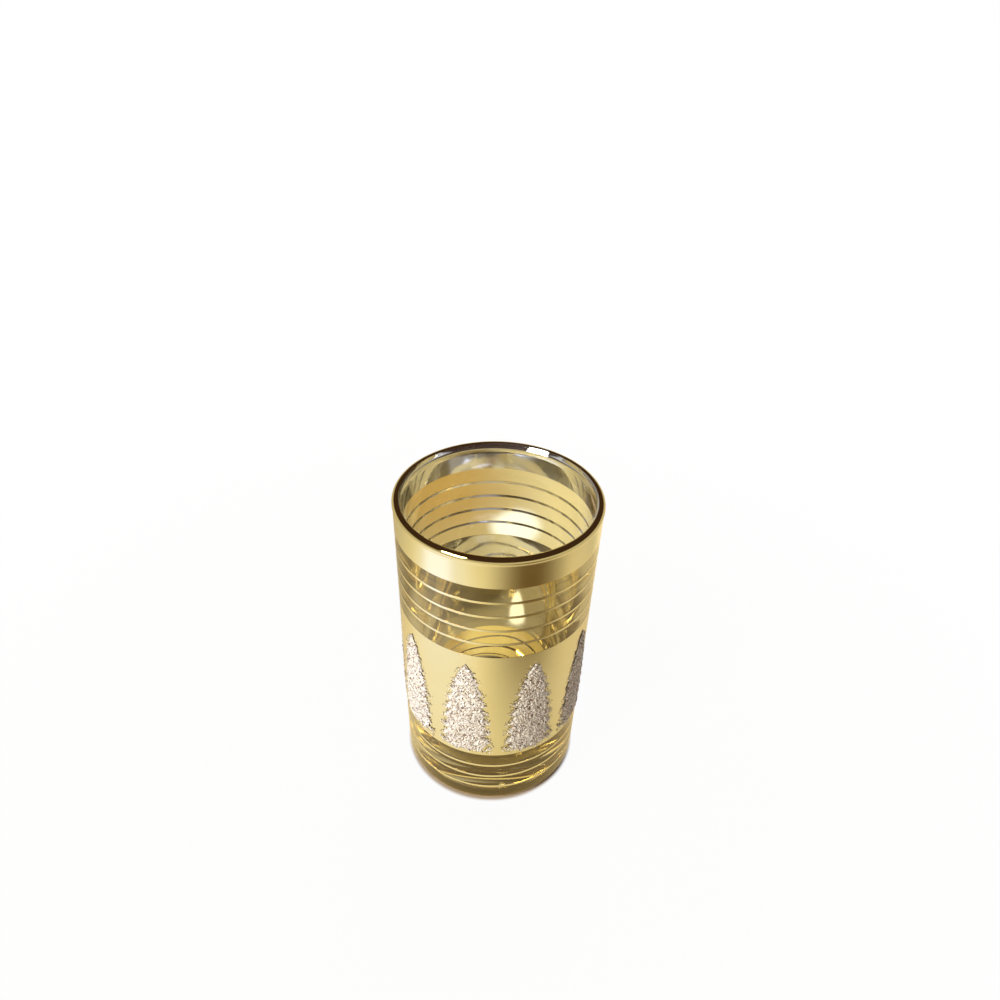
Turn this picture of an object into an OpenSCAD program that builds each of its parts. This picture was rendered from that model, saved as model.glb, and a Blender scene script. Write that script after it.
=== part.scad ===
// Straight-sided tea glass: clear tumbler, silver mirror print, amber-gold lacquer
// and a ring of raised glitter fir trees.
// Millimetres, +Z up. The origin is on the axis of the glass, in the plane of its flat foot.
// The front of the glass faces -Y.

/* [Glass] */
// Height from the table to the crown of the bare lip
glass_height = 90; // [80:1:120]
// Outside diameter of the bare wall at the lip
mouth_diameter = 53.2; // [46:0.2:64]
// Outside diameter of the bare wall, carried down to the table
foot_diameter = 49.6; // [44:0.2:60]
// Thickness of the wall at the lip
wall_thickness = 1.6; // [1.2:0.1:3]
// Thickness that the wall has grown to at the height of the inside floor
heel_wall_thickness = 6; // [3:0.2:8]
// How far the round lip stands out past each face of the wall
lip_bulge = 0.2; // [0.1:0.05:0.6]
// Height from the table to the inside floor
base_thickness = 8; // [5:0.5:14]
// Radius that rounds the bottom outside edge
foot_edge_radius = 2.5; // [1:0.25:3.5]
// Radius that runs the inside floor up into the wall
floor_edge_radius = 5; // [2:0.5:9]
// Diameter of the hollow under the base, inside the flat foot ring
punt_diameter = 34; // [20:1:36]
// Depth of that hollow in its middle
punt_depth = 1.2; // [0.6:0.1:3]

/* [Mirror print] */
// Height of the mirror band that hangs from the crown of the lip
rim_band_height = 8.6; // [5:0.2:12]
// Turn of the rim band over the lip, from straight out at 0 to the crown at 90 and inward
lip_wrap_angle = 120; // [60:5:150]
// Number of thin mirror lines above the tree band
upper_line_count = 4; // [1:1:5]
// Step from the rim band's edge to the first upper line, to the next ones and to the tree band
upper_line_pitch = 4.55; // [2:0.05:6]
// Number of thin mirror lines below the tree band
lower_line_count = 3; // [1:1:4]
// Step from one lower line to the next, and from the last one to the tree band
lower_line_pitch = 4.65; // [2:0.05:6]
// Height from the table to the middle of the lowest line
lowest_line_height = 6.4; // [5:0.1:9]
// Width of each thin line
line_width = 0.7; // [0.4:0.1:1.2]
// Thickness of the mirror print
print_thickness = 0.08; // [0.05:0.01:0.2]

/* [Gold lacquer] */
// Thickness of the lacquer where it lies over the mirror print
lacquer_thickness = 0.08; // [0.05:0.01:0.2]
// Where the lacquer starts on the rounded bottom edge, from straight down at 0 to straight out at 90
lacquer_start_angle = 45; // [30:5:80]

/* [Glitter trees] */
// Number of trees round the glass
tree_count = 9; // [4:1:10]
// Turn of the first tree about the axis, away from the front
first_tree_angle = -15; // [-45:1:45]
// Width over the lowest branches
tree_width = 14.5; // [6:0.5:15]
// Bare mirror left between a tree's tip and the top of the tree band
tree_top_margin = 3.4; // [0.5:0.1:5]
// Bare mirror left between a tree's foot and the bottom of the tree band
tree_bottom_margin = 1.3; // [0.5:0.1:5]
// How far the glitter stands up from the lacquer
tree_relief = 0.5; // [0.3:0.05:1]
// Number of branch tiers on each side of a tree
tree_tier_count = 9; // [4:1:12]

/* [Hidden] */
// Paper-thin gap that keeps each layer a solid of its own
bond_gap = 0.02;
// How far a cutting shape runs past the solid that it cuts
overrun = 1;
// The same for the angle at which a layer ends on the lip
overrun_angle = 10;
// Segments along each rounded edge
arc_steps = 12;
// Power that sets how soon a tree widens below its tip
crown_power = 0.72;
// How deep a branch tier is cut back, as a share of the half width there
branch_notch_share = 0.28;
// How far a branch droops below its notch, as a share of the height of a tier
branch_droop_share = 0.15;
full_turn = 360;
right_angle = 90;
$fn = 128;

mouth_radius = mouth_diameter / 2;
foot_radius = foot_diameter / 2;
lip_radius = wall_thickness / 2 + lip_bulge;
lip_center = [mouth_radius - wall_thickness / 2, glass_height - lip_radius];
wall_lean = atan((mouth_radius - foot_radius) / lip_center[1]);
punt_radius = punt_diameter / 2;
punt_sphere_radius = (punt_radius * punt_radius + punt_depth * punt_depth) / (2 * punt_depth);
punt_sphere_center = [0, punt_depth - punt_sphere_radius];
punt_half_angle = asin(punt_radius / punt_sphere_radius);
foot_edge_center = [
    foot_radius - foot_edge_radius * (1 - sin(wall_lean)) / cos(wall_lean),
    foot_edge_radius
];
heel_bore_radius = foot_radius + base_thickness * tan(wall_lean) - heel_wall_thickness;
bore_lean = atan((mouth_radius - wall_thickness - heel_bore_radius) / (lip_center[1] - base_thickness));
floor_edge_center = [
    heel_bore_radius - floor_edge_radius * (1 - sin(bore_lean)) / cos(bore_lean),
    base_thickness + floor_edge_radius
];

// Offsets of the layers from the bare wall
print_inner = bond_gap;
print_outer = print_inner + print_thickness;
lacquer_inner = bond_gap;
lacquer_outer = print_outer + bond_gap + lacquer_thickness;
tree_inner = lacquer_outer + bond_gap;
tree_outer = tree_inner + tree_relief;
tree_reach = max(mouth_radius, foot_radius) + tree_outer + overrun;

// Heights of the print's edges and of the trees
rim_band_bottom = glass_height - rim_band_height;
tree_band_top = rim_band_bottom - (upper_line_count + 1) * upper_line_pitch;
tree_band_bottom = lowest_line_height + lower_line_count * lower_line_pitch;
tree_foot = tree_band_bottom + tree_bottom_margin;
tree_height = tree_band_top - tree_top_margin - tree_foot;
tree_tier_height = tree_height / tree_tier_count;

// Point at a distance and an angle from a center
function polar(center, radius, angle) = center + radius * [cos(angle), sin(angle)];

// Points along an arc, both ends included
function arc(center, radius, start, end) =
    [for (i = [0:arc_steps]) polar(center, radius, start + (end - start) * i / arc_steps)];

// Radius of the leaning wall at a height, with a layer's offset from it
function skin_radius(height, offset) = foot_radius + height * tan(wall_lean) + offset / cos(wall_lean);

// Angle between a leaning face of the wall and the end of the round lip on it, with a layer's offset
function lip_seat_angle(offset, lean) =
    acos((wall_thickness / 2 * cos(lean) + offset) / (lip_radius + offset));

// Angle at which the outside of the wall runs into the lip
function lip_start_angle(offset) = -wall_lean - lip_seat_angle(offset, wall_lean);

// Angle at which the lip runs into the bore
lip_end_angle = 2 * right_angle - bore_lean + lip_seat_angle(0, bore_lean);

// Section of a layer on the straight wall between two heights
function wall_section(low, high, inner, outer) = [
    [skin_radius(low, inner), low],
    [skin_radius(low, outer), low],
    [skin_radius(high, outer), high],
    [skin_radius(high, inner), high]
];

// Section of one thin line of the print, at the height of its middle
function line_section(height, spare, inner, outer) = wall_section(
    height - line_width / 2 - spare, height + line_width / 2 + spare, inner, outer);

// Section of a layer that runs up the wall from a height and over the lip
function rim_section(low, inner, outer, end) = concat(
    [[skin_radius(low, inner), low], [skin_radius(low, outer), low]],
    arc(lip_center, lip_radius + outer, lip_start_angle(outer), end),
    arc(lip_center, lip_radius + inner, end, lip_start_angle(inner))
);

// Section of a layer that covers the outside from the bottom edge to the lip
function coat_section(start, inner, outer, end) = concat(
    arc(foot_edge_center, foot_edge_radius + inner, -wall_lean, start),
    arc(foot_edge_center, foot_edge_radius + outer, start, -wall_lean),
    arc(lip_center, lip_radius + outer, lip_start_angle(outer), end),
    arc(lip_center, lip_radius + inner, end, lip_start_angle(inner))
);

// Section of the bare glass, from the top of the punt round to the inside floor
function glass_section() = concat(
    arc(punt_sphere_center, punt_sphere_radius, right_angle, right_angle - punt_half_angle),
    arc(foot_edge_center, foot_edge_radius, -right_angle, -wall_lean),
    arc(lip_center, lip_radius, lip_start_angle(0), lip_end_angle),
    arc(floor_edge_center, floor_edge_radius, -bore_lean, -right_angle),
    [[0, base_thickness]]
);

// Heights of the middles of the thin lines, counted down from the rim and down from the tree band
function upper_line_height(i) = rim_band_bottom - i * upper_line_pitch;
function lower_line_height(i) = tree_band_bottom - i * lower_line_pitch;

// Half the width of a tree's crown at the tip of a branch tier, counted from the top
function crown_half_width(tier) =
    tree_width / 2 * sin(right_angle * pow(tier / tree_tier_count, crown_power));

// The tip of a branch tier and the notch under it, on the side that the sign gives
function branch_tip(tier, side) = [
    side * crown_half_width(tier),
    tree_height - tier * tree_tier_height
];
function branch_notch(tier, side) = [
    side * crown_half_width(tier) * (1 - branch_notch_share),
    tree_height - (tier - branch_droop_share) * tree_tier_height
];

// Outline of one fir tree, standing on its lowest branches
function tree_outline() = concat(
    [[0, tree_height]],
    [for (i = [1:tree_tier_count - 1]) each [branch_tip(i, 1), branch_notch(i, 1)]],
    [branch_tip(tree_tier_count, 1), branch_tip(tree_tier_count, -1)],
    [for (i = [tree_tier_count - 1:-1:1]) each [branch_notch(i, -1), branch_tip(i, -1)]]
);

module glass_tumbler() {
    color("aliceblue", 0.35)
        rotate_extrude()
            polygon(glass_section());
}

module rim_mirror_band() {
    color("silver")
        rotate_extrude()
            polygon(rim_section(rim_band_bottom, print_inner, print_outer, lip_wrap_angle));
}

module mirror_line(height) {
    color("silver")
        rotate_extrude()
            polygon(line_section(height, 0, print_inner, print_outer));
}

module tree_mirror_band() {
    color("silver")
        rotate_extrude()
            polygon(wall_section(tree_band_bottom, tree_band_top, print_inner, print_outer));
}

// Section of the lacquer, with room left for every stretch of the print under it
module lacquer_section() {
    start = lacquer_start_angle - right_angle;
    room = print_outer + bond_gap;
    difference() {
        polygon(coat_section(start, lacquer_inner, lacquer_outer, lip_wrap_angle));
        polygon(rim_section(rim_band_bottom - bond_gap, 0, room, lip_wrap_angle + overrun_angle));
        polygon(wall_section(tree_band_bottom - bond_gap, tree_band_top + bond_gap, 0, room));
        for (i = [1:upper_line_count])
            polygon(line_section(upper_line_height(i), bond_gap, 0, room));
        for (i = [1:lower_line_count])
            polygon(line_section(lower_line_height(i), bond_gap, 0, room));
    }
}

module gold_lacquer() {
    color("goldenrod", 0.5)
        rotate_extrude()
            lacquer_section();
}

module glitter_tree(i) {
    color("whitesmoke")
        rotate([0, 0, first_tree_angle + (i - 1) * full_turn / tree_count])
            intersection() {
                translate([0, 0, tree_foot])
                    rotate([right_angle, 0, 0])
                        linear_extrude(height = tree_reach)
                            polygon(tree_outline());
                rotate_extrude()
                    polygon(wall_section(
                        tree_foot - overrun, tree_foot + tree_height + overrun, tree_inner, tree_outer));
            }
}

glass_tumbler();
rim_mirror_band();
for (i = [1:upper_line_count])
    mirror_line(upper_line_height(i));
tree_mirror_band();
for (i = [1:lower_line_count])
    mirror_line(lower_line_height(i));
gold_lacquer();
for (i = [1:tree_count])
    glitter_tree(i);
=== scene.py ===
"""Gold tea glass: clear tumbler, silver mirror print, amber-gold lacquer and glitter fir trees.

Every piece is in metres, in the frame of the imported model. The photograph's camera looks along +Y.
"""

import math
import random
from collections import Counter, namedtuple

import bpy
import numpy as np
from mathutils import Matrix, Vector
from mathutils.geometry import delaunay_2d_cdt


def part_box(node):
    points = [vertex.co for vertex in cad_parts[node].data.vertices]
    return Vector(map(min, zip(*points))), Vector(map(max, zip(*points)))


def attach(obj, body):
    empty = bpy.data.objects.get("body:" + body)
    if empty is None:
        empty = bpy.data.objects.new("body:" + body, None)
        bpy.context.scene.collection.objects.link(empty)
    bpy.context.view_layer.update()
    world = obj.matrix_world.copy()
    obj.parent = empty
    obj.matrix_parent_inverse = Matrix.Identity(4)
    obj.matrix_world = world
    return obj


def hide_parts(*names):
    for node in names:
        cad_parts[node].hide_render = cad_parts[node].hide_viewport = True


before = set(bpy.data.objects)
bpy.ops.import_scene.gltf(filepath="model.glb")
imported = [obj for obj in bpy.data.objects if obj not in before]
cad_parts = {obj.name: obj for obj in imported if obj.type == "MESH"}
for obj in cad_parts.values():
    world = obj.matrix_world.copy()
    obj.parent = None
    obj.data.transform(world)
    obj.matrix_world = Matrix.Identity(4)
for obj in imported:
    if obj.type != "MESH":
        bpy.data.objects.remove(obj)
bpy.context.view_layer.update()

MM = 0.001
QUARTER = math.pi / 2
FULL_TURN = 2 * math.pi
ORIGIN = (0, 0, 0)
WHITE = (1, 1, 1, 1)

# Sizes of the glass that its packed box doesn't give
WALL = 1.6 * MM
HEEL_WALL = 6.0 * MM
LIP_BULGE = 0.2 * MM
BASE_THICKNESS = 8.0 * MM
FOOT_EDGE_RADIUS = 2.5 * MM
FLOOR_EDGE_RADIUS = 5.0 * MM
PUNT_RADIUS = 17.0 * MM
PUNT_DEPTH = 1.2 * MM

# Layers on the wall
BOND_GAP = 0.02 * MM
PRINT_THICKNESS = 0.08 * MM
LACQUER_THICKNESS = 0.08 * MM
PRINT_OUTER = BOND_GAP + PRINT_THICKNESS
LACQUER_OUTER = PRINT_OUTER + BOND_GAP + LACQUER_THICKNESS
TREE_INNER = LACQUER_OUTER + BOND_GAP
LIP_WRAP = math.radians(120)
LACQUER_START = math.radians(-45)

# Faint waves of the blown inside wall: lobes round it, waves up it, and how far one bends the other
WAVE_DEPTH = 0.04 * MM
WAVE_LENGTH = 19 * MM
WAVE_LOBES = 7
WAVE_BEND = 3
WAVE_BEND_LOBES = 2
WAVE_FADE = 0.5

# Outline of a tree
TREE_COUNT = 9
TREE_TIERS = 9
TREE_WIDTH = 14.5 * MM
FIRST_TREE_TURN = math.radians(-15)
CROWN_POWER = 0.72
TIER_NECK = 0.74
TIER_MARGIN = 1e-6
EDGE_RAG = 0.1
FOOT_RAG = 1.8 * MM
FOOT_POWER = 4
FOOT_RIPPLES = (5, 11)
RIPPLE_SHARE = 0.125
FOOT_JITTER = 0.8

# Glitter bed that fills the outline: its heights and their spread are shares of the relief
TREE_SEED = 100
TREE_RELIEF = 0.5 * MM
FLAKE = 0.36 * MM
ACROSS_JITTER = (0.2, 0.8)
UP_JITTER = 0.3
BED_SHARE = 0.5
FACET_SHARE = 0.38
RIM_BED_SHARE = 0.13
RIM_FACET_SHARE = 0.09
FILL_INSIDE = 1
MERGE_REACH = 1e-5

# Flakes that stray past the outline, sized in shares of a flake of the bed
EDGE_STRAYS = 420
EDGE_STRAY_REACH = 0.97
FOOT_STRAYS = 170
FOOT_STRAY_REACH = 1.1
STRAY_SPREAD = 0.4 * MM
STRAY_LIFT = 0.1 * MM
STRAY_TILT = 0.2
STRAY_CORNERS = (4, 5, 6)
STRAY_SIZE = (0.35, 0.6)
STRAY_THICKNESS = 0.04 * MM

# Meshing
LATHE_STEPS = 256
ARC_STEPS = 20
WALL_STEPS = 48
BAND_STEP = 2 * MM
RIM_STEPS = 4
COAT_FOOT_STEPS = 8
COAT_BAND_STEPS = 2
ON_AXIS = 1e-7
SHARP_EDGE = math.radians(50)

# Clear glass: scale and range of its roughness, and what it lets through to a lamp's shadow
GLASS_IOR = 1.5
GLASS_HAZE_SCALE = 120
GLASS_HAZE = (0.0, 0.012)
LAMP_PASS = (0.45, 0.45, 0.45, 1)

# Mirror print
SILVER = (0.88, 0.87, 0.85, 1)
PRINT_GLOSS_SCALE = 300
PRINT_ROUGHNESS = (0.02, 0.08)
PRINT_BUMP_SCALE = 160
PRINT_BUMP_DEPTH = 1.5e-5

# Lacquer: its tint where it lies on the print, and how much deeper it is on bare glass
LACQUER_TINT = (0.98, 0.872, 0.55, 1)
LACQUER_GLOSS = (1.0, 0.84, 0.5, 1)
LACQUER_IOR = 1.4
PRINT_DEPTH = 1.0
ZONE_DEPTH = 1.8
LACQUER_CLOUD_SCALE = 40
LACQUER_CLOUD = (0.8, 1.2)
LACQUER_GLOSS_SCALE = 500
LACQUER_ROUGHNESS = (0.01, 0.05)
LACQUER_BUMP_SCALE = 350
LACQUER_BUMP_DEPTH = 1e-5

# Glitter: the share of dark flakes, and the brightness and tint of dark and light ones
DARK_SHARE = 0.27
DARK_LEVEL = (0.1, 0.4)
DARK_TINT = (1.0, 0.62, 0.36)
LIGHT_LEVEL = (0.7, 1.0)
LIGHT_TINT = (1.0, 0.9, 0.72)
FLAKE_METALLIC = 0.3
FLAKE_GLOSS_SCALE = 2000
FLAKE_ROUGHNESS = (0.2, 0.45)

# Floor: a sweep into a low backdrop, and a shadow that starts and ends at shares of the foot's radius
FLOOR_HALF_WIDTH = 1.6
FLOOR_FRONT = -1.6
FLOOR_BACK = 1.4
SWEEP_RADIUS = 0.2
SWEEP_STEPS = 12
BACKDROP_TOP = 0.3
FLOOR_COLOUR = (0.55, 0.4, 0.26, 1)
SHADOW_START = 0.98
SHADOW_END = 1.035
SHADOW_REACH = 0.25
GLOW_AT_FOOT = 0.97

# What mirrors and glass see on the floor: a level all over, and soft painted pools of light and shade, the
# later over the earlier
Pool = namedtuple("Pool", "place near far colour")
FLOOR_LEVEL = (0.62, 0.62, 0.62, 1)
PAINTED_LEFT_WASH = Pool((-0.08, -0.06, 0), 0.03, 0.16, (1.05, 1.05, 1.05, 1))
PAINTED_LEFT_COOL = Pool((-0.085, -0.055, 0), 0.03, 0.085, (1.05, 1.16, 1.65, 1))
PAINTED_LEFT_CORE = Pool((-0.106, -0.058, 0), 0.015, 0.05, (1.25, 1.45, 2.6, 1))
PAINTED_BACK_RIGHT = Pool((0.06, 0.11, 0), 0.02, 0.09, (1.0, 1.0, 1.0, 1))
PAINTED_RIGHT_POOL = Pool((0.08, 0.005, 0), 0.035, 0.075, (0.78, 0.76, 0.76, 1))
# Painted shade on the floor just behind the foot
PAINTED_BEHIND_SHADE = Pool((-0.012, 0.05, 0), 0.01, 0.036, (0.42, 0.34, 0.22, 1))
PAINTED_BEHIND_LIGHT = Pool((-0.002, 0.035, 0), 0.008, 0.018, (0.96, 1.05, 1.4, 1))
# Painted shadow on the floor in front to the right, seen in the mirror bands
PAINTED_FRONT_RIGHT_SHADOW = Pool((0.075, -0.105, 0), 0.01, 0.105, (0.17, 0.125, 0.08, 1))
PAINTED_FAR_WARM = Pool((-0.035, 0.128, 0), 0.01, 0.065, (0.58, 0.43, 0.22, 1))
PAINTED_FAR_LIGHT = Pool((0.008, 0.1035, 0), 0.007, 0.0145, (1.35, 1.58, 2.5, 1))
PAINTED_LEFT_POOLS = (PAINTED_LEFT_WASH, PAINTED_LEFT_COOL, PAINTED_LEFT_CORE)
PAINTED_NEAR_POOLS = (PAINTED_BACK_RIGHT, PAINTED_RIGHT_POOL, PAINTED_BEHIND_SHADE, PAINTED_BEHIND_LIGHT, PAINTED_FRONT_RIGHT_SHADOW)
PAINTED_FAR_POOLS = (PAINTED_FAR_WARM, PAINTED_FAR_LIGHT)

# Painted light on the floor under the base, seen through the glass: a soft middle, and a painted streak of
# light in place of the light that the wall would focus across it
PAINTED_UNDER_PLACE = (-0.009, 0.009, 0)
PAINTED_UNDER_NEAR = 0.009
PAINTED_UNDER_FAR = 0.017
PAINTED_UNDER_SHARE = 0.48
PAINTED_STREAK_PLACE = (-0.0064, 0.0036, 0)
PAINTED_STREAK_SIZE = (0.0031, 0.0088, 1)
PAINTED_STREAK_TURN = (0, 0, math.radians(-35.6))
PAINTED_STREAK_CORE = 0.6
PAINTED_STREAK_COLOUR = (2.0, 2.15, 2.8, 1)

# Lamps and room
KEY_PLACE = (-0.413, -0.427, 0.42)
KEY_SIZE = 0.25
KEY_POWER = 6.8
KEY_COLOUR = (0.96, 1.0, 1.04)
FILL_PLACE = (0.1, 0.59, 0.45)
FILL_SIZE = 0.4
FILL_POWER = 4.0
FILL_COLOUR = (1, 1, 1)
ROOM_COLOUR = (0.05, 0.028, 0.021, 1)
HORIZON_LOW = 0.1
HORIZON_HIGH = 0.3

# Camera of the photograph, found from the rims, bases and lines that show in it
CAMERA_PLACE = Vector((0.33, -168.68, 204.1)) * MM
CAMERA_PITCH = math.radians(34.481)
CAMERA_ROLL = math.radians(2.17)
CAMERA_LENS = 29.09
SENSOR_WIDTH = 36.0
CLIP_START = 0.005

# Light paths long enough for glass inside mirrors
LONG_PATH = 64
GLOSSY_PATH = 32


def wall_line():
    """Foot radius and lean of the bare wall, read from the topmost and lowest thin lines."""
    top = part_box("upper_mirror_line_1")[1]
    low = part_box("lower_mirror_line_3")[1]
    slope = (top.x - low.x) / (top.z - low.z)
    lean = math.atan(slope)
    return top.x - top.z * slope - PRINT_OUTER / math.cos(lean), lean


FOOT_RADIUS, LEAN = wall_line()
GLASS_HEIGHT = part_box("glass_tumbler")[1].z
LIP_RADIUS = WALL / 2 + LIP_BULGE
LIP_HEIGHT = GLASS_HEIGHT - LIP_RADIUS
WALL_TOP = LIP_HEIGHT - LIP_RADIUS
MOUTH_RADIUS = FOOT_RADIUS + LIP_HEIGHT * math.tan(LEAN)
LIP_CENTER = (MOUTH_RADIUS - WALL / 2, LIP_HEIGHT)
FOOT_EDGE_CENTER = (
    FOOT_RADIUS - FOOT_EDGE_RADIUS * (1 - math.sin(LEAN)) / math.cos(LEAN),
    FOOT_EDGE_RADIUS,
)
HEEL_BORE = FOOT_RADIUS + BASE_THICKNESS * math.tan(LEAN) - HEEL_WALL
BORE_LEAN = math.atan((MOUTH_RADIUS - WALL - HEEL_BORE) / (LIP_HEIGHT - BASE_THICKNESS))
FLOOR_EDGE_HEIGHT = BASE_THICKNESS + FLOOR_EDGE_RADIUS
FLOOR_EDGE_CENTER = (
    HEEL_BORE + FLOOR_EDGE_RADIUS * (math.sin(BORE_LEAN) - 1) / math.cos(BORE_LEAN),
    FLOOR_EDGE_HEIGHT,
)
PUNT_SPHERE = (PUNT_RADIUS**2 + PUNT_DEPTH**2) / (2 * PUNT_DEPTH)
BAND_NODES = [n for n in sorted(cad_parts) if "mirror_line" in n or n == "tree_mirror_band"]


# Sections

def arc(center, radius, start, end, steps=ARC_STEPS):
    """Points along an arc, both ends included."""
    angles = np.linspace(start, end, steps + 1)
    return [(center[0] + radius * math.cos(a), center[1] + radius * math.sin(a)) for a in angles]


def skin(height, offset):
    """Radius of the leaning wall at a height, with a layer's offset from it."""
    return FOOT_RADIUS + height * math.tan(LEAN) + offset / math.cos(LEAN)


def lip_seat(offset, lean=LEAN):
    """Angle between a side of the wall, which leans, and the end of the round lip on it."""
    return math.acos((WALL / 2 * math.cos(lean) + offset) / (LIP_RADIUS + offset))


def wall_run(low, high, offset, steps):
    """Points up or down the wall between two heights."""
    return [(skin(z, offset), z) for z in np.linspace(low, high, steps + 1)]


def lip_run(offset, end):
    """Points from the wall over the lip to an angle."""
    return arc(LIP_CENTER, LIP_RADIUS + offset, -LEAN - lip_seat(offset), end)


def glass_section():
    """Half section of the bare glass, from the axis under the base to the axis on the inside floor."""
    punt_angle = math.asin(PUNT_RADIUS / PUNT_SPHERE)
    punt = arc((0, PUNT_DEPTH - PUNT_SPHERE), PUNT_SPHERE, QUARTER, QUARTER - punt_angle)
    foot = arc(FOOT_EDGE_CENTER, FOOT_EDGE_RADIUS, -QUARTER, -LEAN)
    outside = wall_run(foot[-1][1], WALL_TOP, 0, WALL_STEPS)[1:]
    lip = lip_run(0, math.pi - BORE_LEAN + lip_seat(0, BORE_LEAN))
    floor = arc(FLOOR_EDGE_CENTER, FLOOR_EDGE_RADIUS, -BORE_LEAN, -QUARTER)
    inside = [tuple(p) for p in np.linspace(lip[-1], floor[0], WALL_STEPS + 1)[1:-1]]
    disc = [(r, BASE_THICKNESS) for r in np.linspace(floor[-1][0], 0, ARC_STEPS)[1:]]
    return punt + foot + outside + lip + inside + floor + disc


def band_section(low, high, inner, outer):
    """Closed section of a layer on the wall between two heights."""
    steps = max(1, round((high - low) / BAND_STEP))
    return wall_run(low, high, outer, steps) + wall_run(high, low, inner, steps)


def rim_section(low):
    """Closed section of the rim band, up the wall and over the lip."""
    outside = wall_run(low, WALL_TOP, PRINT_OUTER, RIM_STEPS)
    inside = wall_run(WALL_TOP, low, BOND_GAP, RIM_STEPS)
    return outside + lip_run(PRINT_OUTER, LIP_WRAP) + lip_run(BOND_GAP, LIP_WRAP)[::-1] + inside


def coat_inside():
    """Inside of the lacquer, which steps out over every stretch of the print, with its depths."""
    room = PRINT_OUTER + BOND_GAP
    spans = sorted((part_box(n)[0].z - BOND_GAP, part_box(n)[1].z + BOND_GAP) for n in BAND_NODES)
    foot = arc(FOOT_EDGE_CENTER, FOOT_EDGE_RADIUS + BOND_GAP, LACQUER_START, -LEAN, COAT_FOOT_STEPS)
    marked = [(p, ZONE_DEPTH) for p in foot]
    for low, high in spans:
        marked.append(((skin(low, BOND_GAP), low), ZONE_DEPTH))
        marked += [(p, PRINT_DEPTH) for p in wall_run(low, high, room, COAT_BAND_STEPS)]
        marked.append(((skin(high, BOND_GAP), high), ZONE_DEPTH))
    rim_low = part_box("rim_mirror_band")[0].z - BOND_GAP
    marked.append(((skin(rim_low, BOND_GAP), rim_low), ZONE_DEPTH))
    over_rim = [(skin(rim_low, room), rim_low)] + lip_run(room, LIP_WRAP)
    return marked + [(p, PRINT_DEPTH) for p in over_rim]


def coat_section():
    """Closed section of the lacquer, and its depth at each point.

    The outside counts as no depth, so that light is tinted once for each crossing.
    """
    foot_radius = FOOT_EDGE_RADIUS + LACQUER_OUTER
    outside = arc(FOOT_EDGE_CENTER, foot_radius, LACQUER_START, -LEAN, COAT_FOOT_STEPS)
    outside += wall_run(outside[-1][1], WALL_TOP, LACQUER_OUTER, WALL_STEPS)[1:]
    outside += lip_run(LACQUER_OUTER, LIP_WRAP)
    marked = [(p, 0.0) for p in outside] + coat_inside()[::-1]
    return [p for p, depth in marked], [depth for p, depth in marked]


# Meshes

def add_object(name, verts, faces, material, smooth=True):
    """A new mesh object in the scene, with one material."""
    mesh = bpy.data.meshes.new(name)
    mesh.from_pydata(verts, [], faces)
    mesh.update()
    mesh.materials.append(material)
    mesh.polygons.foreach_set("use_smooth", [smooth] * len(mesh.polygons))
    if smooth:
        mesh.set_sharp_from_angle(angle=SHARP_EDGE)
    obj = bpy.data.objects.new(name, mesh)
    bpy.context.scene.collection.objects.link(obj)
    return obj


def no_wave(radius, angle, height):
    """A true body of revolution."""
    return 0.0


def inside_wave(radius, angle, height):
    """Faint waves on the inside wall, which die out towards the lip and the floor."""
    low, high = FLOOR_EDGE_HEIGHT, WALL_TOP
    if radius > skin(height, -WALL / 2) or not low < height < high:
        return 0.0
    share = (height - low) / (high - low)
    run = FULL_TURN * height / WAVE_LENGTH
    first = math.sin(WAVE_LOBES * angle + math.sin(run))
    second = math.sin(run + WAVE_BEND * math.sin(WAVE_BEND_LOBES * angle))
    return WAVE_DEPTH * math.sin(math.pi * share) ** WAVE_FADE * (first + second) / 2


def lathe(name, section, material, closed, wave=no_wave):
    """A body of revolution: closed turns the section as a ring, open runs from axis to axis."""
    verts, rings, faces = [], [], []
    angles = np.linspace(0, FULL_TURN, LATHE_STEPS, endpoint=False)
    for r, z in section:
        start = len(verts)
        if r < ON_AXIS:
            verts.append((0, 0, z))
            rings.append([start] * LATHE_STEPS)
        else:
            for a in angles:
                radius = r + wave(r, a, z)
                verts.append((radius * math.cos(a), radius * math.sin(a), z))
            rings.append(list(range(start, start + LATHE_STEPS)))
    following = rings[1:] + rings[:1] if closed else rings[1:]
    for low, high in zip(rings, following):
        for i in range(LATHE_STEPS):
            j = (i + 1) % LATHE_STEPS
            corners = [low[i], low[j], high[j], high[i]]
            faces.append([c for k, c in enumerate(corners) if c not in corners[:k]])
    return add_object(name, verts, faces, material)


# Materials

def new_material(name):
    """An empty node material and its tree."""
    material = bpy.data.materials.new(name)
    material.use_nodes = True
    material.node_tree.nodes.clear()
    return material, material.node_tree


def add_node(tree, kind, inputs, **settings):
    """A shader node with its settings and its inputs, each a value or another node's output."""
    node = tree.nodes.new("ShaderNode" + kind)
    for name, value in settings.items():
        setattr(node, name, value)
    for name, value in inputs.items():
        if isinstance(value, bpy.types.NodeSocket):
            tree.links.new(value, node.inputs[name])
        else:
            node.inputs[name].default_value = value
    return node


def math_node(tree, operation, first, second):
    """The result of a sum on two values or outputs."""
    return add_node(tree, "Math", {0: first, 1: second}, operation=operation).outputs[0]


def mix_node(tree, share, first, second):
    """A mix of two shaders, all the second where the share is one."""
    return add_node(tree, "MixShader", {0: share, 1: first.outputs[0], 2: second.outputs[0]})


def ramp_node(tree, value, start, end, low, high):
    """A smooth step from low to high as the value goes from start to end."""
    sockets = {"Value": value, "From Min": start, "From Max": end, "To Min": low, "To Max": high}
    return add_node(tree, "MapRange", sockets, interpolation_type="SMOOTHSTEP").outputs[0]


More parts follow.
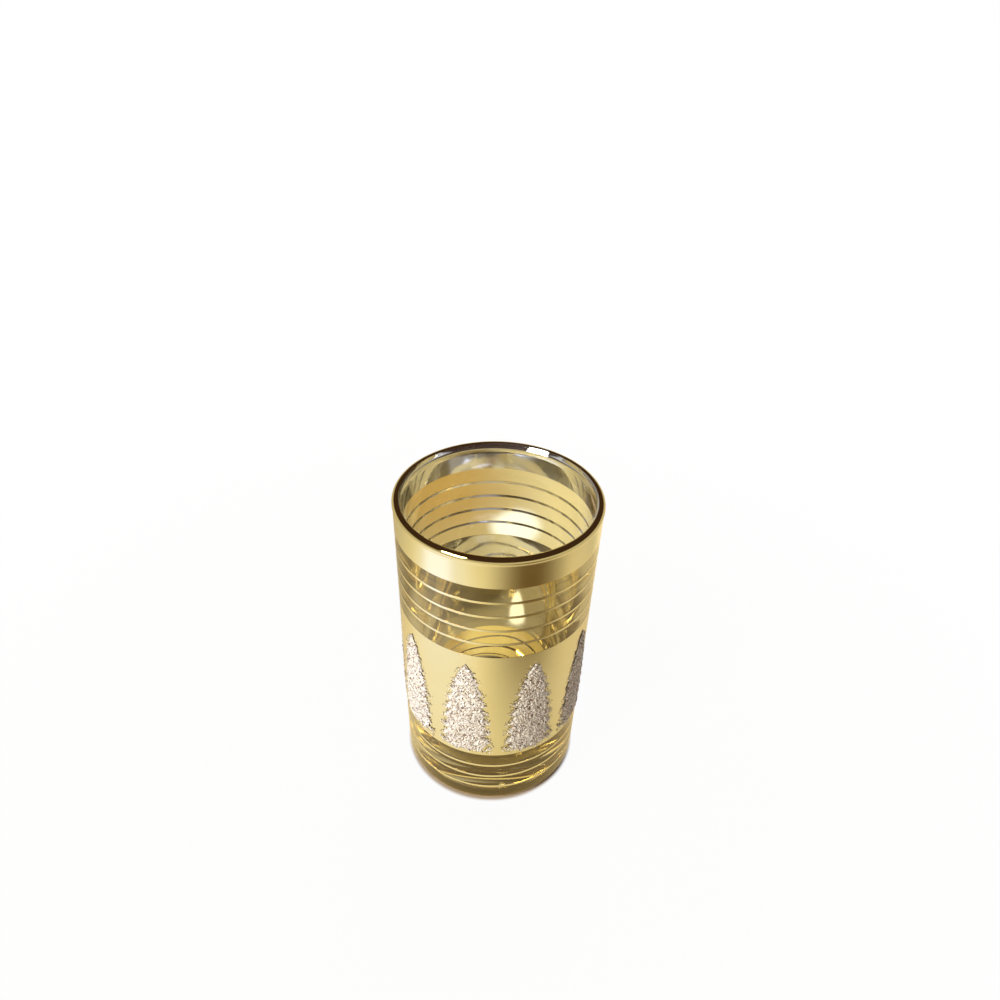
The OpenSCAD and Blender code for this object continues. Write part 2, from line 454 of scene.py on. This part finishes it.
def cloud_node(tree, scale, low, high):
    """Soft noise over the object, between two values."""
    spot = add_node(tree, "TexCoord", {}).outputs["Object"]
    cloud = add_node(tree, "TexNoise", {"Vector": spot, "Scale": scale}).outputs[0]
    return add_node(tree, "MapRange", {"Value": cloud, "To Min": low, "To Max": high}).outputs[0]


def bump_node(tree, scale, depth):
    """A faint unevenness of the surface, with its depth in metres."""
    cloud = cloud_node(tree, scale, 0.0, 1.0)
    return add_node(tree, "Bump", {"Height": cloud, "Distance": depth}).outputs[0]


def show(tree, shader):
    """Ends a material with a shader."""
    add_node(tree, "OutputMaterial", {"Surface": shader.outputs[0]})


def clear_glass():
    """Clear soda glass."""
    material, tree = new_material("clear_glass")
    glass = {
        "Base Color": WHITE,
        "Roughness": cloud_node(tree, GLASS_HAZE_SCALE, *GLASS_HAZE),
        "IOR": GLASS_IOR,
        "Transmission Weight": 1.0,
    }
    body = add_node(tree, "BsdfPrincipled", glass)
    passing = add_node(tree, "BsdfTransparent", {"Color": LAMP_PASS})
    lamp_ray = add_node(tree, "LightPath", {}).outputs["Is Shadow Ray"]
    show(tree, mix_node(tree, lamp_ray, body, passing))
    return material


def mirror_print():
    """Silver mirror with slightly uneven gloss."""
    material, tree = new_material("mirror_print")
    silver = {
        "Base Color": SILVER,
        "Metallic": 1.0,
        "Roughness": cloud_node(tree, PRINT_GLOSS_SCALE, *PRINT_ROUGHNESS),
        "Normal": bump_node(tree, PRINT_BUMP_SCALE, PRINT_BUMP_DEPTH),
    }
    show(tree, add_node(tree, "BsdfPrincipled", silver))
    return material


def gold_lacquer():
    """See-through amber lacquer with a gloss: the deeper the coat, the deeper its tint."""
    material, tree = new_material("gold_lacquer")
    depth = add_node(tree, "Attribute", {}, attribute_name="coat_depth").outputs["Fac"]
    amount = math_node(tree, "MULTIPLY", depth, cloud_node(tree, LACQUER_CLOUD_SCALE, *LACQUER_CLOUD))
    tint = add_node(tree, "Gamma", {"Color": LACQUER_TINT, "Gamma": amount}).outputs[0]
    clear = add_node(tree, "BsdfTransparent", {"Color": tint})
    finish = {
        "Color": LACQUER_GLOSS,
        "Roughness": cloud_node(tree, LACQUER_GLOSS_SCALE, *LACQUER_ROUGHNESS),
        "Normal": bump_node(tree, LACQUER_BUMP_SCALE, LACQUER_BUMP_DEPTH),
    }
    gloss = add_node(tree, "BsdfGlossy", finish)
    fresnel = add_node(tree, "Fresnel", {"IOR": LACQUER_IOR}).outputs[0]
    backside = add_node(tree, "NewGeometry", {}).outputs["Backfacing"]
    share = math_node(tree, "MULTIPLY", fresnel, math_node(tree, "SUBTRACT", 1.0, backside))
    show(tree, mix_node(tree, share, clear, gloss))
    return material


def silver_glitter():
    """Silver flakes, each with its own tint from the mesh."""
    material, tree = new_material("silver_glitter")
    flake = {
        "Base Color": add_node(tree, "VertexColor", {}, layer_name="flake_tint").outputs["Color"],
        "Metallic": FLAKE_METALLIC,
        "Roughness": cloud_node(tree, FLAKE_GLOSS_SCALE, *FLAKE_ROUGHNESS),
    }
    show(tree, add_node(tree, "BsdfPrincipled", flake))
    return material


CLEAR_GLASS = clear_glass()
MIRROR_PRINT = mirror_print()
GOLD_LACQUER = gold_lacquer()
SILVER_GLITTER = silver_glitter()


# Pieces

def place(piece, node):
    """Stands a piece in for its CAD node, on the part's one body."""
    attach(piece, "root")
    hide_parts(node)


def print_pieces():
    """The rim band, the thin lines and the tree band."""
    rim_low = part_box("rim_mirror_band")[0].z
    rim = lathe("rim_band", rim_section(rim_low), MIRROR_PRINT, closed=True)
    place(rim, "rim_mirror_band")
    for node in BAND_NODES:
        low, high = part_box(node)
        section = band_section(low.z, high.z, BOND_GAP, PRINT_OUTER)
        piece = lathe(node.replace("_mirror", ""), section, MIRROR_PRINT, closed=True)
        place(piece, node)


def coat_piece():
    """The lacquer, with its depth kept on its points."""
    section, depths = coat_section()
    coat = lathe("lacquer_coat", section, GOLD_LACQUER, closed=True)
    layer = coat.data.attributes.new("coat_depth", "FLOAT", "POINT")
    layer.data.foreach_set("value", np.repeat(depths, LATHE_STEPS).astype(np.float32))
    place(coat, "gold_lacquer")


def crown_half_width(share):
    """Half the width of a tree at a share of its height below the tip."""
    return TREE_WIDTH / 2 * math.sin(QUARTER * share**CROWN_POWER)


def edge_half_width(share):
    """The same with the saw teeth of the branch tiers."""
    tier = min(share * TREE_TIERS, TREE_TIERS - TIER_MARGIN)
    last = math.floor(tier)
    low = crown_half_width(last / TREE_TIERS) * TIER_NECK
    high = crown_half_width((last + 1) / TREE_TIERS)
    return low + (high - low) * (tier - last)


def on_wall(turn, across, height, offset):
    """A point on the glass, from its run round the wall, its height and its offset from the bare wall."""
    radius = skin(height, offset)
    angle = turn + across / radius
    return Vector((radius * math.sin(angle), -radius * math.cos(angle), height))


def flake_tint(rng):
    """Warm silver, or now and then a dark flake."""
    if rng.random() < DARK_SHARE:
        level = rng.uniform(*DARK_LEVEL)
        tint = DARK_TINT
    else:
        level = rng.uniform(*LIGHT_LEVEL)
        tint = LIGHT_TINT
    return [level * part for part in tint] + [1]


def foot_lift(across, phases):
    """How far the ragged foot of a tree lifts, at a share of the way across it from -1 to 1."""
    ripple = sum(math.sin(count * across + phase) for count, phase in zip(FOOT_RIPPLES, phases))
    return FOOT_RAG * (across**FOOT_POWER + (len(FOOT_RIPPLES) + ripple) * RIPPLE_SHARE)


def tree_outline(low, high, phases, rng):
    """Ragged outline of a tree, as points across the wall and up it, anticlockwise from the tip."""
    steps = round((high - low) / FLAKE)
    runs = []
    for side in (-1, 1):
        corner = low + foot_lift(side, phases)
        run = []
        for i in range(1, steps):
            share = i / steps
            height = high - share * (high - low)
            if height > corner:
                across = side * edge_half_width(share) * rng.uniform(1 - EDGE_RAG, 1)
                run.append(Vector((across, height)))
        runs.append(run)
    left, right = runs
    start, end = left[-1].x, right[-1].x
    cols = round((end - start) / FLAKE)
    foot = []
    for j in range(1, cols):
        lift = foot_lift(2 * j / cols - 1, phases) * rng.uniform(FOOT_JITTER, 1)
        foot.append(Vector((start + (end - start) * j / cols, low + lift)))
    return [Vector((0, high))] + left + foot + right[::-1]


def tree_patch(outline, low, high, rng):
    """Triangles that fill an outline, between points about a flake apart."""
    points = [p / MM for p in outline]
    rows = int((high - low) / FLAKE)
    for i in range(1, rows):
        share = i / rows
        half = edge_half_width(share) * (1 - EDGE_RAG) - FLAKE / 2
        cols = int(2 * half / FLAKE)
        for j in range(cols):
            across = half * (2 * (j + rng.uniform(*ACROSS_JITTER)) / cols - 1)
            height = high - (share + rng.uniform(-UP_JITTER, UP_JITTER) / rows) * (high - low)
            points.append(Vector((across, height)) / MM)
    count = len(outline)
    rim = [(i, (i + 1) % count) for i in range(count)]
    found = delaunay_2d_cdt(points, rim, [list(range(count))], FILL_INSIDE, MERGE_REACH)
    used = sorted({i for triangle in found[2] for i in triangle})
    number = {old: new for new, old in enumerate(used)}
    triangles = [[number[i] for i in triangle] for triangle in found[2]]
    return [found[0][i] * MM for i in used], triangles


def tree_bed(turn, low, high, phases, rng):
    """The glitter bed of a tree: a closed shell on the wall, its outside broken into facets."""
    points, triangles = tree_patch(tree_outline(low, high, phases, rng), low, high, rng)
    edges = [(t[k - 1], t[k]) for t in triangles for k in range(3)]
    uses = Counter(frozenset(edge) for edge in edges)
    open_edges = [edge for edge in edges if uses[frozenset(edge)] == 1]
    rim = {p for edge in open_edges for p in edge}
    verts = [on_wall(turn, p.x, p.y, TREE_INNER) for p in points]
    for i, p in enumerate(points):
        bed = RIM_BED_SHARE if i in rim else BED_SHARE
        facet = RIM_FACET_SHARE if i in rim else FACET_SHARE
        rise = TREE_RELIEF * (bed + facet * rng.uniform(-1, 1))
        verts.append(on_wall(turn, p.x, p.y, TREE_INNER + rise))
    up = len(points)
    faces = [[a + up, b + up, c + up] for a, b, c in triangles]
    faces += [[c, b, a] for a, b, c in triangles]
    faces += [[a, b, b + up, a + up] for a, b in open_edges]
    return verts, faces, [flake_tint(rng) for _ in faces]


def stray_places(low, high, phases, rng):
    """Where flakes lie across the wall and up it, along a tree's sides and foot and a little past them."""
    for _ in range(EDGE_STRAYS):
        share = 1 - rng.random() * EDGE_STRAY_REACH
        across = rng.choice((-1, 1)) * edge_half_width(share) + rng.gauss(0, STRAY_SPREAD)
        yield across, high - share * (high - low) + rng.gauss(0, STRAY_SPREAD / 2)
    for _ in range(FOOT_STRAYS):
        across = rng.uniform(-FOOT_STRAY_REACH, FOOT_STRAY_REACH)
        height = low + foot_lift(max(-1, min(1, across)), phases) + rng.gauss(0, STRAY_SPREAD)
        yield across * TREE_WIDTH / 2, max(height, low - STRAY_SPREAD)


def stray_flakes(turn, low, high, phases, rng, first):
    """Loose flakes of a tree, as thin plates that lie on the lacquer."""
    verts, faces, tints = [], [], []
    for across, height in stray_places(low, high, phases, rng):
        middle = on_wall(turn, across, height, TREE_INNER + STRAY_LIFT)
        out = Vector((middle.x, middle.y, 0)).normalized()
        along = Vector((-out.y, out.x, 0))
        tilt = along * rng.gauss(0, STRAY_TILT) + Vector((0, 0, rng.gauss(0, STRAY_TILT)))
        normal = (out + tilt).normalized()
        side = normal.cross(Vector((0, 0, 1))).normalized()
        rise = normal.cross(side)
        corners = rng.choice(STRAY_CORNERS)
        spin = rng.uniform(0, FULL_TURN)
        size = FLAKE * rng.uniform(*STRAY_SIZE)
        start = first + len(verts)
        for lift in (STRAY_THICKNESS / 2, -STRAY_THICKNESS / 2):
            for k in range(corners):
                a = spin + FULL_TURN * k / corners
                reach = (side * math.cos(a) + rise * math.sin(a)) * size
                verts.append(middle + normal * lift + reach)
        top = [start + k for k in range(corners)]
        bottom = [start + corners + k for k in range(corners)]
        sides = [[top[k - 1], top[k], bottom[k], bottom[k - 1]] for k in range(corners)]
        faces += [top[::-1], bottom] + sides
        tints += [flake_tint(rng)] * (corners + 2)
    return verts, faces, tints


def tree_pieces():
    """The fir trees, each a bed of glitter with stray flakes along its edge."""
    for i in range(TREE_COUNT):
        rng = random.Random(TREE_SEED + i)
        phases = [rng.uniform(0, FULL_TURN) for _ in FOOT_RIPPLES]
        node = f"glitter_tree_{i + 1}"
        low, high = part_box(node)
        turn = FIRST_TREE_TURN + FULL_TURN * i / TREE_COUNT
        verts, faces, tints = tree_bed(turn, low.z, high.z, phases, rng)
        more = stray_flakes(turn, low.z, high.z, phases, rng, len(verts))
        verts += more[0]
        faces += more[1]
        tints += more[2]
        tree = add_object(f"fir_tree_{i + 1}", verts, faces, SILVER_GLITTER, smooth=False)
        layer = tree.data.color_attributes.new("flake_tint", "FLOAT_COLOR", "CORNER")
        corners = [tint for face, tint in zip(faces, tints) for _ in face]
        layer.data.foreach_set("color", np.array(corners, np.float32).ravel())
        place(tree, node)


def make_glass():
    """The whole object."""
    tumbler = lathe("tumbler", glass_section(), CLEAR_GLASS, closed=False, wave=inside_wave)
    place(tumbler, "glass_tumbler")
    print_pieces()
    coat_piece()
    tree_pieces()


# Stage

def distance_node(tree, spot, point):
    """How far a place is from a point."""
    return add_node(tree, "VectorMath", {0: spot, 1: point}, operation="DISTANCE").outputs["Value"]


def mirrored_node(tree, path):
    """One for what mirrors and glass see, zero for the rest."""
    return math_node(tree, "MAXIMUM", path["Is Transmission Ray"], path["Is Glossy Ray"])


def painted_streak_node(tree, spot):
    """One inside the painted streak of light under the base, falling to zero at its edge."""
    shape = {"Vector": spot, "Location": PAINTED_STREAK_PLACE, "Rotation": PAINTED_STREAK_TURN, "Scale": PAINTED_STREAK_SIZE}
    local = add_node(tree, "Mapping", shape, vector_type="TEXTURE").outputs[0]
    return ramp_node(tree, distance_node(tree, local, ORIGIN), PAINTED_STREAK_CORE, 1.0, 1.0, 0.0)


def floor_glow_and_painted_pools(tree, spot, streak, direct):
    """The floor's own glow: white to the camera, and painted pools of light and shade and a painted streak
    of light to mirrors and glass.
    """
    glow = add_node(tree, "Emission", {"Color": FLOOR_LEVEL})
    # Each pool is painted light or shade on the floor, seen only by mirrors and glass
    for painted_pool in PAINTED_LEFT_POOLS + PAINTED_NEAR_POOLS + PAINTED_FAR_POOLS:
        light = add_node(tree, "Emission", {"Color": painted_pool.colour})
        fade = ramp_node(tree, distance_node(tree, spot, painted_pool.place), painted_pool.near, painted_pool.far, 0.0, 1.0)
        glow = mix_node(tree, fade, light, glow)
    # The painted streak of light goes over the pools
    glow = mix_node(tree, streak, glow, add_node(tree, "Emission", {"Color": PAINTED_STREAK_COLOUR}))
    return mix_node(tree, direct, glow, add_node(tree, "Emission", {"Color": WHITE}))


def floor_material():
    """White floor that keeps its shadow, and that mirrors and glass see with painted pools of light and
    shade.
    """
    material, tree = new_material("white_floor")
    spot = add_node(tree, "NewGeometry", {}).outputs["Position"]
    radius = distance_node(tree, spot, ORIGIN)
    streak = painted_streak_node(tree, spot)
    path = add_node(tree, "LightPath", {}).outputs
    direct = path["Is Camera Ray"]
    clear = ramp_node(tree, radius, FOOT_RADIUS * SHADOW_START, FOOT_RADIUS * SHADOW_END, 0.0, 1.0)
    # Painted light under the base and the painted streak let the floor's glow in where the glass shades it
    middle = distance_node(tree, spot, PAINTED_UNDER_PLACE)
    under = ramp_node(tree, middle, PAINTED_UNDER_NEAR, PAINTED_UNDER_FAR, PAINTED_UNDER_SHARE, 0.0)
    clear = math_node(tree, "MAXIMUM", clear, math_node(tree, "MAXIMUM", streak, under))
    far = ramp_node(tree, radius, FOOT_RADIUS, SHADOW_REACH, GLOW_AT_FOOT, 1.0)
    to_camera = math_node(tree, "MULTIPLY", direct, far)
    seen = math_node(tree, "MAXIMUM", to_camera, mirrored_node(tree, path))
    matte = add_node(tree, "BsdfDiffuse", {"Color": FLOOR_COLOUR})
    glow = floor_glow_and_painted_pools(tree, spot, streak, direct)
    show(tree, mix_node(tree, math_node(tree, "MULTIPLY", seen, clear), matte, glow))
    return material


def make_floor():
    """A sweep: level floor that curves up behind into a low backdrop."""
    line = [(FLOOR_FRONT, 0.0), (FLOOR_BACK, 0.0)]
    line += arc((FLOOR_BACK, SWEEP_RADIUS), SWEEP_RADIUS, -QUARTER, 0, SWEEP_STEPS)[1:]
    line.append((FLOOR_BACK + SWEEP_RADIUS, BACKDROP_TOP))
    verts = [(x, y, z) for y, z in line for x in (-FLOOR_HALF_WIDTH, FLOOR_HALF_WIDTH)]
    faces = [[2 * i, 2 * i + 1, 2 * i + 3, 2 * i + 2] for i in range(len(line) - 1)]
    floor = add_object("floor", verts, faces, floor_material())


def add_softbox(name, spot, size, power, colour):
    """A square softbox that faces the middle of the glass."""
    lamp = bpy.data.lights.new(name, "AREA")
    lamp.shape = "RECTANGLE"
    lamp.size = size
    lamp.size_y = size
    lamp.energy = power
    lamp.color = colour
    obj = bpy.data.objects.new(name, lamp)
    obj.location = spot
    heading = Vector((0, 0, GLASS_HEIGHT / 2)) - Vector(spot)
    obj.rotation_euler = heading.to_track_quat("-Z", "Y").to_euler()
    bpy.context.scene.collection.objects.link(obj)
    return obj


def make_room():
    """A dim warm room with a white backdrop all round, up to where the horizon fades."""
    world = bpy.data.worlds.new("room")
    world.use_nodes = True
    tree = world.node_tree
    tree.nodes.clear()
    heading = add_node(tree, "TexCoord", {}).outputs["Generated"]
    climb = add_node(tree, "SeparateXYZ", {0: heading}).outputs["Z"]
    low = ramp_node(tree, climb, HORIZON_LOW, HORIZON_HIGH, 1.0, 0.0)
    path = add_node(tree, "LightPath", {}).outputs
    room = add_node(tree, "Background", {"Color": ROOM_COLOUR})
    backdrop = add_node(tree, "Background", {"Color": FLOOR_LEVEL})
    white = add_node(tree, "Background", {"Color": WHITE})
    both = mix_node(tree, math_node(tree, "MULTIPLY", mirrored_node(tree, path), low), room, backdrop)
    both = mix_node(tree, path["Is Camera Ray"], both, white)
    add_node(tree, "OutputWorld", {"Surface": both.outputs[0]})
    bpy.context.scene.world = world


def make_light():
    """Soft key from the front left, a fill from behind that mirrors don't show, and the room."""
    add_softbox("key", KEY_PLACE, KEY_SIZE, KEY_POWER, KEY_COLOUR)
    fill = add_softbox("fill", FILL_PLACE, FILL_SIZE, FILL_POWER, FILL_COLOUR)
    fill.visible_camera = False
    fill.visible_glossy = False
    fill.visible_transmission = False
    make_room()


def make_camera():
    """The photograph's camera."""
    data = bpy.data.cameras.new("camera")
    data.lens = CAMERA_LENS
    data.sensor_width = SENSOR_WIDTH
    data.clip_start = CLIP_START
    forward = Vector((0, math.cos(CAMERA_PITCH), -math.sin(CAMERA_PITCH)))
    level_up = Vector((0, math.sin(CAMERA_PITCH), math.cos(CAMERA_PITCH)))
    level_right = Vector((1, 0, 0))
    right = level_right * math.cos(CAMERA_ROLL) + level_up * math.sin(CAMERA_ROLL)
    up = level_up * math.cos(CAMERA_ROLL) - level_right * math.sin(CAMERA_ROLL)
    obj = bpy.data.objects.new("camera", data)
    turn = Matrix((right, up, -forward)).transposed().to_4x4()
    obj.matrix_world = Matrix.Translation(CAMERA_PLACE) @ turn
    bpy.context.scene.collection.objects.link(obj)
    bpy.context.scene.camera = obj


def set_render():
    """Plain view settings and long light paths."""
    scene = bpy.context.scene
    scene.view_settings.view_transform = "Standard"
    scene.cycles.max_bounces = LONG_PATH
    scene.cycles.glossy_bounces = GLOSSY_PATH
    scene.cycles.transmission_bounces = LONG_PATH
    scene.cycles.transparent_max_bounces = LONG_PATH
    scene.cycles.caustics_reflective = False
    scene.cycles.caustics_refractive = False
    scene.cycles.use_denoising = True


make_camera()
make_glass()
make_floor()
make_light()
set_render()
